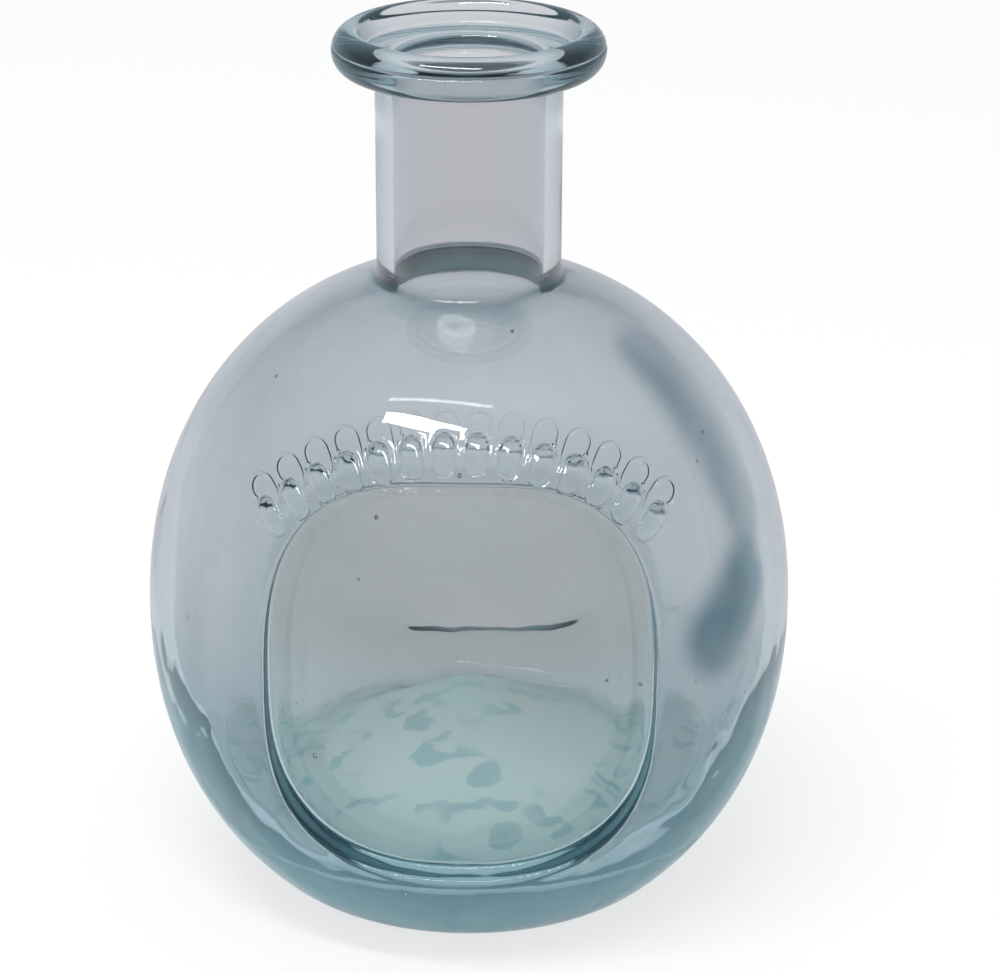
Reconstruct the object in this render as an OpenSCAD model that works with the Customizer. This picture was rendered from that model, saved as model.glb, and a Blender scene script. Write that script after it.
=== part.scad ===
// Round glass bottle with a rolled lip, a recessed squarish panel front and back,
// and an arc of raised beads over the front panel. One blown piece of glass.
// Millimetres, +Z up, standing on the origin, front panel towards -Y.

/* [Body] */
// Height of the whole bottle, from the table to the crest of the lip
bottle_h = 172; // [164:0.5:180]
// Widest outside diameter of the round body
body_d = 127.6; // [118:0.2:138]
// Height of the widest point above the table
belly_h = 55.4; // [50:0.1:58]
// How far the upper curve would reach above the widest point
dome_h = 70.1; // [66:0.1:76]
// How far the lower curve would reach below the widest point
bowl_h = 68.6; // [64:0.1:74]
// Fullness of the upper curve, 2 is an ellipse
dome_full = 2.11; // [2:0.01:2.3]
// Fullness of the lower curve, 2 is an ellipse
bowl_full = 2.13; // [2:0.01:2.3]
// Rounding between the lower curve and the flat foot
heel_soft = 3; // [2.5:0.1:3.2]

/* [Glass] */
// Wall of the upper body
wall = 4.4; // [3.6:0.1:5.4]
// Glass between the floor inside and the push-up under it
base_t = 5.5; // [4:0.1:7]
// How far the inner curve would reach below the widest point
cavity_bowl_h = 56; // [53:0.5:57]
// Height of the top of the raised floor above the table
hill_z = 36; // [30:0.5:38]
// Fall of the raised floor for each unit outwards
hill_slope = 0.6; // [0.4:0.01:0.65]
// Radius over which its top is rounded
hill_tip = 6; // [3:0.5:12]
// Rounding between the inner curve and the floor
floor_soft = 6; // [4:0.5:9]
// Radius of the push-up at the table
kick_r = 33; // [30:0.1:33.5]
// Rise of the push-up for each unit inwards from the table
kick_slope = 2; // [1.4:0.05:3]
// Rounding between the rise of the push-up and its top
kick_soft = 5; // [3:0.5:8]

/* [Neck and lip] */
// Outside diameter of the neck
neck_d = 35.6; // [32:0.1:39]
// Straight bore that takes the stopper
bore_d = 28.9; // [27:0.1:29.6]
// Softness of the outer join of neck and shoulder
neck_soft = 6.3; // [4:0.1:9]
// Softness of the inner join of neck and shoulder
throat_soft = 9; // [6:0.5:11]
// Radius of the circle the rolled lip follows
lip_r = 22.3; // [21:0.1:24]
// Half the width of the rolled lip
lip_w = 3.6; // [3:0.1:4.2]
// Half the height of the rolled lip
lip_h = 4.1; // [3.4:0.1:4.8]
// Radius of the cove under the lip
cove_r = 2.2; // [1.2:0.1:2.4]
// Radius of the crease inside the mouth
crease_r = 19.9; // [18:0.1:20.4]
// Depth of the crease below the top of the lip
crease_z = 4.1; // [3:0.1:5]
// How far the shelf inside the mouth falls from the crease to the bore
shelf_drop = 0.9; // [0.2:0.1:1.4]
// Width of the rounding between the shelf and the bore
shelf_soft = 1.6; // [0.8:0.1:2.2]
// Height of the rounding between the shelf and the bore
shelf_fall = 1.6; // [0.8:0.1:2.2]

/* [Panels] */
// Width of the recessed panels
panel_w = 72.3; // [64:0.1:76]
// Height of the recessed panels
panel_h = 77.4; // [70:0.1:79]
// Height of their middle above the widest point
panel_up = 5.2; // [3:0.1:6]
// Squareness of their outline, 2 is an ellipse
panel_square = 2.83; // [2.4:0.01:4]
// Depth of the recess
recess = 4.8; // [3:0.1:5.2]

/* [Beads] */
// Number of raised beads over the front panel
bead_n = 14; // [8:1:15]
// Width of a bead
bead_w = 4.7; // [3.6:0.1:5]
// Length of a bead
bead_l = 6.8; // [5.6:0.1:8]
// How far a bead stands out
bead_out = 0.9; // [0.5:0.1:1.2]
// Radius of the arc the beads follow
arc_r = 51; // [49:0.5:53]
// Half the angle the row of beads takes
arc_half = 43.5; // [36:0.5:45]

/* [Hidden] */
$fn = 96;
glass_tint = [0.72, 0.84, 0.85, 0.45];
body_r = body_d / 2;
neck_r = neck_d / 2;
bore_r = bore_d / 2;
lip_z = bottle_h - lip_h;   // height of the circle that the lip follows
cavity_r = body_r - wall;
cavity_dome_h = dome_h - 1.2 * wall;
shelf_z = bottle_h - crease_z - shelf_drop;   // height of the shelf at the bore
bore_top = shelf_z - shelf_fall;              // height at which the straight bore ends
land = 0.4;            // flat left on the crest of the lip
past_top = 1;          // how far the outline of the void runs past the crest
arc_drop = 1.5;        // arc centre below the widest point
pad_edge = 3;          // how far the pad inside reaches past the panel
panel_root = 20;       // how far from the axis the panel blocks start

// Radius of a round form at height z above its widest point
function bulge(z, r, up, down, full_up, full_down) =
    z > 0 ? r * pow(max(0, 1 - pow(z / up, full_up)), 1 / full_up)
          : r * pow(max(0, 1 - pow(-z / down, full_down)), 1 / full_down);

// Larger of a and b, with the corner between them rounded over a width k
function soft_max(a, b, k) =
    let (t = max(0, min(1, 0.5 + 0.5 * (a - b) / k))) b + (a - b) * t + k * t * (1 - t);

// Outer and inner radius at height z above the widest point; in is the depth below the skin
function skin_r(z, in = 0) = bulge(z, body_r - in, dome_h - in, bowl_h - in, dome_full, bowl_full);
function shoulder_r(z) = soft_max(skin_r(z), neck_r, neck_soft);
function cavity_wall_r(z) = bulge(z, cavity_r, cavity_dome_h, cavity_bowl_h, dome_full, 2);
function throat_r(z) = soft_max(cavity_wall_r(z), bore_r, throat_soft);
foot_r = skin_r(-belly_h - heel_soft);        // outer edge of the flat foot

// Raised floor inside: height above the table at radius r
function hill(r) = hill_z - hill_slope * (norm([r, hill_tip]) - hill_tip);

// Push-up under the base: height above the table at radius r
function kick(r) =
    max(0, -soft_max(base_t - hill(r), kick_slope * (r - kick_r), kick_soft));

// Rolled lip: cove, then the half ellipse from its underside to its crest
function lip_outline() = concat(
    [for (a = [180 : -15 : 90])
        [neck_r + cove_r + cove_r * cos(a), lip_z - lip_h - cove_r + cove_r * sin(a)]],
    [for (a = [-90 : 7.5 : 90]) [lip_r + lip_w * cos(a), lip_z + lip_h * sin(a)]]);

// Outside of the glass, right half, from the axis under the base to the axis at the top
function glass_outline() = concat(
    [for (i = [0 : 16]) let (r = kick_r * i / 16) [r, kick(r)]],
    [[foot_r, 0]],
    [for (i = [1 : 35]) let (z = -bowl_h * cos(90 * i / 36), r = skin_r(z))
        if (z > -belly_h - heel_soft) [r, belly_h + soft_max(z, -belly_h, heel_soft)]],
    [for (i = [0 : 33])
        let (z = dome_h * sin(90 * i / 34)) [shoulder_r(z), belly_h + z]],
    lip_outline(),
    [[0, bottle_h]]);

// Inside of the glass, right half, from the floor up through the bore and out of the mouth
function void_outline() = concat(
    [[0, hill_z]],
    [for (i = [1 : 35]) let (z = -cavity_bowl_h * cos(90 * i / 36), r = cavity_wall_r(z))
        [r, belly_h + soft_max(z, hill(r) - belly_h, floor_soft)]],
    [for (i = [0 : 32])
        let (z = cavity_dome_h * sin(90 * i / 32)) [throat_r(z), belly_h + z]],
    [for (i = [0 : 6]) let (a = 15 * i)
        [bore_r + shelf_soft * (1 - cos(a)), bore_top + shelf_fall * sin(a)]],
    [for (i = [0 : 7]) let (a = 90 * i / 8)
        [crease_r + (lip_r - land - crease_r) * (1 - cos(a)), bottle_h - crease_z * (1 - sin(a))]],
    [[lip_r - land, bottle_h], [lip_r - land, bottle_h + past_top], [0, bottle_h + past_top]]);

// Squarish outline of the panels, grown by g on every side
function panel_outline(g) =
    [for (a = [0 : 6 : 354])
        let (c = cos(a), s = sin(a), n = 2 / panel_square)
        [(panel_w / 2 + g) * sign(c) * pow(abs(c), n), (panel_h / 2 + g) * sign(s) * pow(abs(s), n)]];

// Straight block with that outline, standing out to the front and to the back
module panel_blocks(g) {
    for (turn = [0, 180]) rotate([0, 0, turn])
        translate([0, -panel_root, belly_h + panel_up]) rotate([90, 0, 0])
            linear_extrude(height = body_r) polygon(panel_outline(g));
}

// Round form that lies a given depth below the skin of the body
module deeper(depth) {
    translate([0, 0, belly_h]) rotate_extrude()
        polygon(concat([[0, depth - bowl_h]],
            [for (i = [1 : 47]) let (a = -90 + 180 * i / 48, q = a > 0 ? dome_h : bowl_h)
                [skin_r((q - depth) * sin(a), depth), (q - depth) * sin(a)]],
            [[0, dome_h - depth]]));
}

// What the two recesses take away from the outside
module recesses() {
    difference() {
        panel_blocks(0);
        deeper(recess);
    }
}

// What the pads behind the recesses keep of the glass
module pads() {
    difference() {
        panel_blocks(pad_edge);
        deeper(recess + wall);
    }
}

// Point on the skin of the front over the arc, at angle a and distance r from its centre
function on_skin(a, r, sunk) =
    let (x = r * sin(a), z = r * cos(a) - arc_drop, q = skin_r(z) - sunk)
    [x, -sqrt(q * q - x * x), belly_h + z];

// Rod with round ends between two points
module rod(p, q, r) {
    d = q - p;
    len = norm(d);
    translate(p) rotate([0, acos(d[2] / len), atan2(d[1], d[0])]) {
        cylinder(r = r, h = len);
        sphere(r = r);
        translate([0, 0, len]) sphere(r = r);
    }
}

// Row of beads over the front panel
module beads() {
    sunk = bead_w / 2 - bead_out;
    reach = (bead_l - bead_w) / 2;
    for (i = [0 : bead_n - 1]) {
        a = arc_half * (2 * i / (bead_n - 1) - 1);
        rod(on_skin(a, arc_r - reach, sunk), on_skin(a, arc_r + reach, sunk), bead_w / 2);
    }
}

module bottle() {
    color(glass_tint) difference() {
        union() {
            difference() {
                rotate_extrude() polygon(glass_outline());
                recesses();
            }
            beads();
        }
        difference() {
            rotate_extrude() polygon(void_outline());
            pads();
        }
    }
}

bottle();
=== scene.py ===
"""Looks of a round glass bottle with a rolled lip, recessed panels and a row of beads.

The bottle is one closed skin of glass. Its rows run from the middle of the foot up the
outside, over the lip, down the bore and across the floor inside, and its outline follows
the same formulas as the part's source. Metres, +Z up, front panel towards -Y.
"""

import logging
import math
from dataclasses import dataclass, field
from enum import Enum
from typing import Any, Callable, Sequence

import bpy
import numpy as np
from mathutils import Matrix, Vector


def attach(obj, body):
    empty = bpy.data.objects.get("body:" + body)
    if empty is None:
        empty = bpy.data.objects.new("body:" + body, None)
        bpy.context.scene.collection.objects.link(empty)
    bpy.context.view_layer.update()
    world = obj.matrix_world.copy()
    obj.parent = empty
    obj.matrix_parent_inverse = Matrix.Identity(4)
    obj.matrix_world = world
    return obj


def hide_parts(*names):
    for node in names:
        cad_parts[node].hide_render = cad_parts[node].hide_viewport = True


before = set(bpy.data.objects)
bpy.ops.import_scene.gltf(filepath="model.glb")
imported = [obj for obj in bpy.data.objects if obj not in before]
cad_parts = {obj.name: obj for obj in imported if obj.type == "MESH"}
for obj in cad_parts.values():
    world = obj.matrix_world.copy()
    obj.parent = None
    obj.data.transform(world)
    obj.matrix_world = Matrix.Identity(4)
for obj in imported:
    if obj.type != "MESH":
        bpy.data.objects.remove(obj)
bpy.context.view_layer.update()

LOG = logging.getLogger("bottle")
MM = 0.001

Node = bpy.types.Node
Socket = bpy.types.NodeSocket
Tree = bpy.types.NodeTree
Colour = tuple[float, float, float]
Band = tuple[float, float]


# ---------------------------------------------------------------------------
# Node helpers
# ---------------------------------------------------------------------------


def operator(operation: str, swap: bool = False) -> Callable[["Signal", Any], "Signal"]:
    """A method of Signal that adds one Math node.

    Args:
        operation: Name of the operation.
        swap: Whether the signal comes second.

    Returns:
        The method.
    """

    def method(self: "Signal", other: "Signal | float") -> "Signal":
        """Result of the operation on the signal and another number."""
        return self.kit.math(operation, *((other, self) if swap else (self, other)))

    return method


class Signal:
    """A number that flows through a node tree, with Python's operators."""

    __add__ = __radd__ = operator("ADD")
    __sub__, __rsub__ = operator("SUBTRACT"), operator("SUBTRACT", swap=True)
    __mul__ = __rmul__ = operator("MULTIPLY")
    __truediv__, __rtruediv__ = operator("DIVIDE"), operator("DIVIDE", swap=True)
    __pow__ = operator("POWER")
    at_least, at_most = operator("MAXIMUM"), operator("MINIMUM")
    above, below = operator("GREATER_THAN"), operator("LESS_THAN")

    def __init__(self, kit: "NodeKit", socket: Socket) -> None:
        self.kit = kit
        self.socket = socket

    def size(self) -> "Signal":
        """Absolute value."""
        return self.kit.math("ABSOLUTE", self)

    def line(self, middle: float, width: float) -> "Signal":
        """A soft line: 1 where the signal is at middle, falling to 0 over a width.

        Args:
            middle: Value on which the line lies.
            width: Distance at which it has fallen to about a third.

        Returns:
            The height of the line.
        """
        share = (self - middle) / width
        return self.kit.math("EXPONENT", share * share * -1.0)

    def ease(self, low: float, high: float) -> "Signal":
        """Smooth step from 0 at low to 1 at high.

        Args:
            low: Value where the step starts.
            high: Value where it ends; it may be below low.

        Returns:
            The smooth step.
        """
        node = self.kit.add(
            "ShaderNodeMapRange",
            {"interpolation_type": "SMOOTHSTEP"},
            {"Value": self, "From Min": low, "From Max": high},
        )
        return Signal(self.kit, node.outputs["Result"])


class NodeKit:
    """Adds nodes to one tree."""

    def __init__(self, tree: Tree) -> None:
        """Starts with the tree that gets the nodes."""
        self.tree = tree

    def add(
        self,
        kind: str,
        settings: dict[str, Any] | None = None,
        values: dict[str | int, Any] | None = None,
    ) -> Node:
        """Adds a node.

        Args:
            kind: Type name of the node.
            settings: Properties of the node, set first.
            values: Values or links for its inputs, by name or by place.

        Returns:
            The node.
        """
        node = self.tree.nodes.new(kind)
        for name, value in (settings or {}).items():
            setattr(node, name, value)
        for key, value in (values or {}).items():
            self.feed(node.inputs[key], value)
        return node

    def feed(self, target: Socket, value: Any) -> None:
        """Gives an input a value or a link.

        Args:
            target: Input socket.
            value: A Signal, an output socket or a plain value.
        """
        if isinstance(value, Signal):
            self.tree.links.new(value.socket, target)
        elif isinstance(value, Socket):
            self.tree.links.new(value, target)
        else:
            target.default_value = value

    def math(self, operation: str, *terms: "Signal | float") -> Signal:
        """One Math node.

        Args:
            operation: Name of the operation.
            terms: Its one to three inputs.

        Returns:
            Its result.
        """
        node = self.add("ShaderNodeMath", {"operation": operation}, dict(enumerate(terms)))
        return Signal(self, node.outputs[0])

    def vector(self, operation: str, first: Any, second: Any = None) -> Signal:
        """One Vector Math node.

        Args:
            operation: Name of the operation.
            first: Its first vector.
            second: Its second vector, or the factor of SCALE; LENGTH has none.

        Returns:
            Its result, a number or a vector.
        """
        values = {0: first}
        if second is not None:
            values["Scale" if operation == "SCALE" else 1] = second
        node = self.add("ShaderNodeVectorMath", {"operation": operation}, values)
        is_number = operation in ("DOT_PRODUCT", "DISTANCE", "LENGTH")
        return self.number(node, "Value" if is_number else "Vector")

    def combine(self, **legs: "Signal | float") -> Signal:
        """A vector from its X, Y and Z."""
        return self.number(self.add("ShaderNodeCombineXYZ", None, legs))

    def split(self, place: Any) -> tuple[Signal, Signal, Signal]:
        """The X, Y and Z of a vector."""
        node = self.add("ShaderNodeSeparateXYZ", None, {0: place})
        return tuple(self.number(node, axis) for axis in "XYZ")

    def length(self, across: Signal, along: Signal) -> Signal:
        """Distance that the two legs of a right angle span."""
        return self.vector("LENGTH", self.combine(X=across, Y=along))

    def number(self, node: Node, name: str | int = 0) -> Signal:
        """The output of a node as a Signal."""
        return Signal(self, node.outputs[name])

    def noise(self, place: Any, scale: float, detail: float = 2.0, rough: float = 0.5) -> Signal:
        """Noise between 0 and 1.

        Args:
            place: Socket with the coordinates.
            scale: Waves per metre.
            detail: Number of finer layers.
            rough: Strength of the finer layers.

        Returns:
            The noise.
        """
        node = self.add(
            "ShaderNodeTexNoise",
            {"noise_dimensions": "3D"},
            {"Vector": place, "Scale": scale, "Detail": detail, "Roughness": rough},
        )
        return Signal(self, node.outputs[0])


# ---------------------------------------------------------------------------
# Form of the glass
# ---------------------------------------------------------------------------


def pairs(*columns: np.ndarray) -> np.ndarray:
    """Columns of numbers side by side, one point a line."""
    return np.stack(np.broadcast_arrays(*columns), axis=1)


def soft_max(a: np.ndarray, b: np.ndarray | float, k: float) -> np.ndarray:
    """Larger of a and b, with the corner between them rounded over a width k."""
    t = np.clip(0.5 + 0.5 * (a - b) / k, 0, 1)
    return b + (a - b) * t + k * t * (1 - t)


def smooth_step(t: np.ndarray) -> np.ndarray:
    """Smooth step from 0 to 1."""
    t = np.clip(t, 0, 1)
    return t * t * (3 - 2 * t)


def even_rows(points: np.ndarray, count: int) -> np.ndarray:
    """Points at even steps along a polyline.

    Args:
        points: The polyline, one point a line.
        count: Number of steps.

    Returns:
        count + 1 points, the first and last ones being the polyline's ends.
    """
    steps = np.hypot(*np.diff(points, axis=0).T)
    run = np.concatenate([[0], np.cumsum(steps)])
    at = np.linspace(0, run[-1], count + 1)
    return np.stack([np.interp(at, run, points[:, k]) for k in range(2)], axis=1)


@dataclass(frozen=True)
class Glass:
    """Sizes of the glass and the outlines that follow from them."""

    height: float = 172 * MM
    body_r: float = 63.8 * MM
    belly: float = 55.4 * MM
    dome_h: float = 70.1 * MM
    bowl_h: float = 68.6 * MM
    dome_full: float = 2.11
    bowl_full: float = 2.13
    heel_soft: float = 3 * MM
    wall: float = 4.4 * MM
    cavity_bowl_h: float = 56 * MM
    hill_z: float = 36 * MM
    hill_slope: float = 0.6
    hill_tip: float = 6 * MM
    floor_soft: float = 6 * MM
    base_t: float = 5.5 * MM
    kick_r: float = 33 * MM
    kick_slope: float = 2.0
    kick_soft: float = 5 * MM
    neck_r: float = 17.8 * MM
    bore_r: float = 14.45 * MM
    neck_soft: float = 6.3 * MM
    throat_soft: float = 9 * MM
    lip_r: float = 22.3 * MM
    lip_w: float = 3.6 * MM
    lip_h: float = 4.1 * MM
    cove_r: float = 2.2 * MM
    crease_r: float = 19.9 * MM
    crease_z: float = 4.1 * MM
    shelf_drop: float = 0.9 * MM
    shelf_soft: float = 1.6 * MM
    bore_z: float = 6.6 * MM
    land: float = 0.4 * MM
    parting: float = 0.3 * MM

    @property
    def lip_z(self) -> float:
        """Height of the circle that the lip follows."""
        return self.height - self.lip_h

    def bulge(
        self, z: np.ndarray, r: float, up: float, down: float, full_up: float, full_down: float
    ) -> np.ndarray:
        """Radius of a round form at height z above its widest point.

        Args:
            z: Heights above the widest point.
            r: Widest radius.
            up: How far the form reaches up.
            down: How far it reaches down.
            full_up: Fullness of the upper curve.
            full_down: Fullness of the lower curve.

        Returns:
            The radii.
        """
        z = np.asarray(z, float)
        top = np.clip(1 - (np.clip(z, 0, None) / up) ** full_up, 0, None) ** (1 / full_up)
        low = np.clip(1 - (np.clip(-z, 0, None) / down) ** full_down, 0, None) ** (1 / full_down)
        return r * np.where(z > 0, top, low)

    def skin_r(self, z: np.ndarray, depth: float = 0.0) -> np.ndarray:
        """Radius of the skin, or of the form a given depth below it."""
        return self.bulge(z, self.body_r - depth, self.dome_h - depth, self.bowl_h - depth,
                          self.dome_full, self.bowl_full)

    def cavity_r(self, z: np.ndarray) -> np.ndarray:
        """Radius of the inside of the body."""
        top = self.dome_h - 1.2 * self.wall
        return self.bulge(z, self.body_r - self.wall, top, self.cavity_bowl_h, self.dome_full, 2.0)

    def hill(self, r: np.ndarray) -> np.ndarray:
        """Height of the hill on the floor inside, at radius r."""
        return self.hill_z - self.hill_slope * (np.hypot(r, self.hill_tip) - self.hill_tip)

    def kick(self, r: np.ndarray) -> np.ndarray:
        """Height of the push-up under the base, at radius r."""
        rise = self.kick_slope * (self.kick_r - r)
        under = -soft_max(-(self.hill(r) - self.base_t), -rise, self.kick_soft)
        return np.clip(under, 0, None)

    def foot_rows(self, top: float) -> np.ndarray:
        """Outline of the underside and the heel.

        Args:
            top: Height above the widest point at which the rows end.

        Returns:
            Pairs of radius and height, without the middle of the foot.
        """
        r = self.kick_r * np.linspace(0, 1, 19)[1:]
        push_up = pairs(r, self.kick(r))
        z = np.linspace(-self.belly - self.heel_soft, top, 400)
        heel = pairs(self.skin_r(z), self.belly + soft_max(z, -self.belly, self.heel_soft))
        return np.vstack([push_up, even_rows(heel, 16)])

    def shoulder_rows(self, start: float) -> np.ndarray:
        """Outline from the upper body over the shoulder and up the neck to the cove.

        Args:
            start: Height above the widest point at which the rows start.

        Returns:
            Pairs of radius and height, without the start.
        """
        z = self.dome_h * np.sin(np.linspace(math.asin(start / self.dome_h), 0.5 * math.pi, 500))
        r = soft_max(self.skin_r(z), self.neck_r, self.neck_soft)
        curve = pairs(r, self.belly + z)
        cove = self.lip_z - self.lip_h - self.cove_r
        neck_z = np.linspace(curve[-1, 1], cove, 12)[1:-1]
        neck = pairs(self.neck_r, neck_z)
        return np.vstack([even_rows(curve, 28)[1:], neck])

    def lip_rows(self) -> np.ndarray:
        """Outline of the cove and the rolled lip with its fine parting line."""
        a = np.radians(np.linspace(180, 90, 7))
        foot = self.lip_z - self.lip_h - self.cove_r
        cove = pairs(self.neck_r + self.cove_r * (1 + np.cos(a)), foot + self.cove_r * np.sin(a))
        a = np.radians(np.concatenate([np.linspace(-90, 3, 15), [5, 7, 9, 11, 13, 15, 17, 19, 21],
                                       np.linspace(25, 90, 12)]))
        groove = self.parting * np.exp(-(((np.degrees(a) - 12) / 3.5) ** 2))
        roll = pairs(self.lip_r + (self.lip_w - groove) * np.cos(a),
                     self.lip_z + (self.lip_h - groove) * np.sin(a))
        return np.vstack([cove, roll])

    def mouth_rows(self) -> np.ndarray:
        """Outline from the crest into the mouth and down to the bore."""
        a = np.linspace(0.5 * math.pi, 0, 12)
        width = self.lip_r - self.land - self.crease_r
        flare = pairs(self.crease_r + width * (1 - np.cos(a)),
                      self.height - self.crease_z * (1 - np.sin(a)))
        t = np.linspace(0, 1, 7)[1:]
        edge = self.bore_r + self.shelf_soft
        shelf = pairs(self.crease_r + (edge - self.crease_r) * t,
                      self.height - self.crease_z - self.shelf_drop * t)
        a = np.linspace(0.5 * math.pi, 0, 8)[1:]
        fall = self.bore_z - self.crease_z - self.shelf_drop
        corner = pairs(self.bore_r + self.shelf_soft * (1 - np.cos(a)),
                       self.height - self.bore_z + fall * np.sin(a))
        return np.vstack([flare, shelf, corner])

    def cavity_rows(self) -> np.ndarray:
        """Outline of the inside, from the bore over the shoulder down to the flat floor."""
        top = self.dome_h - 1.2 * self.wall
        a = np.linspace(0.5 * math.pi, 0, 500)
        z = top * np.sin(a)
        upper = pairs(soft_max(self.cavity_r(z), self.bore_r, self.throat_soft), self.belly + z)
        bore_z = np.linspace(self.height - self.bore_z, upper[0, 1], 12)[1:-1]
        bore = pairs(self.bore_r, bore_z)
        z = -self.cavity_bowl_h * np.cos(np.linspace(0.5 * math.pi, 0.02, 700))
        r = self.cavity_r(z)
        floor = self.hill(r) - self.belly
        lower = pairs(r, self.belly + soft_max(z, floor, self.floor_soft))
        return np.vstack([bore, even_rows(upper, 34), even_rows(lower, 46)[1:]])


@dataclass(frozen=True)
class Panel:
    """A recessed squarish panel, seen along the depth of the bottle."""

    half_w: float = 36.15 * MM
    half_h: float = 38.7 * MM
    up: float = 5.2 * MM
    square: float = 2.83
    recess: float = 4.86 * MM
    edge_out: float = 1.3 * MM
    edge_in: float = 1.9 * MM
    draft: float = 0.35 * MM
    back_reach: float = 8.5 * MM
    crisp_at: float = 4 * MM

    def reach(self, x: np.ndarray, z: np.ndarray) -> np.ndarray:
        """1 on the outline, less inside it and more outside."""
        n = self.square
        across, upright = np.abs(x) / self.half_w, np.abs(z - self.up) / self.half_h
        return (across**n + upright**n) ** (1 / n)

    def outline_point(self, x: np.ndarray, z: np.ndarray) -> tuple[np.ndarray, np.ndarray]:
        """The outline's point on the line from its middle through each given point."""
        q = self.reach(x, z)
        return x / q, self.up + (z - self.up) / q

    def outward(self, x: np.ndarray, z: np.ndarray) -> tuple[np.ndarray, np.ndarray]:
        """Direction straight out of the outline at points on it."""
        n = self.square
        gx = np.sign(x) * (np.abs(x) / self.half_w) ** (n - 1) / self.half_w
        gz = np.sign(z - self.up) * (np.abs(z - self.up) / self.half_h) ** (n - 1) / self.half_h
        size = np.hypot(gx, gz)
        return gx / size, gz / size

    def away(self, x: np.ndarray, z: np.ndarray) -> np.ndarray:
        """Distance outside the outline, negative inside it, along the line from its middle."""
        q = np.maximum(self.reach(x, z), 1e-6)
        return np.hypot(x, z - self.up) * (1 - 1 / q)

    def edge_rings(self) -> list[tuple[float, float]]:
        """Steps down the front edge: distance from the outline and share of the depth."""
        rings = []
        for u in np.linspace(1, -1, 15):
            width = self.edge_out if u > 0 else self.edge_in
            rings.append((float(width * u**3 + self.draft * u), self.step_down(float(u))))
        return rings

    def step_down(self, u: float) -> float:
        """Share of the recess's depth from 0 at u = 1 to 1 at u = -1."""
        return 0.5 - 0.5 * math.sin(0.5 * math.pi * min(1.0, max(-1.0, u)))

    def soft_rings(self, x: np.ndarray, z: np.ndarray) -> list[tuple[float, np.ndarray]]:
        """Steps down the back edge, which is crisp at the middle of its bottom and wide elsewhere.

        Args:
            x: Places of the outline across.
            z: Its heights above the widest point.

        Returns:
            Distance from the outline and shares of the depth along it.
        """
        rise = smooth_step((z - self.up + 0.99 * self.half_h) / (0.3 * self.half_h))
        aside = smooth_step((np.abs(x + self.crisp_at) / self.half_w - 0.15) / 0.5)
        wide = np.maximum(rise, aside)
        rings = []
        for u in np.linspace(1, -1, 17):
            off = float(self.back_reach * u**3)
            shares = (wide * self.step_down(off / self.back_reach)
                      + (1 - wide) * self.step_down(off / self.edge_out))
            rings.append((off, shares))
        return rings


class Face(Enum):
    """The two faces of the bottle that have a panel."""

    FRONT = -1
    BACK = 1


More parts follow.
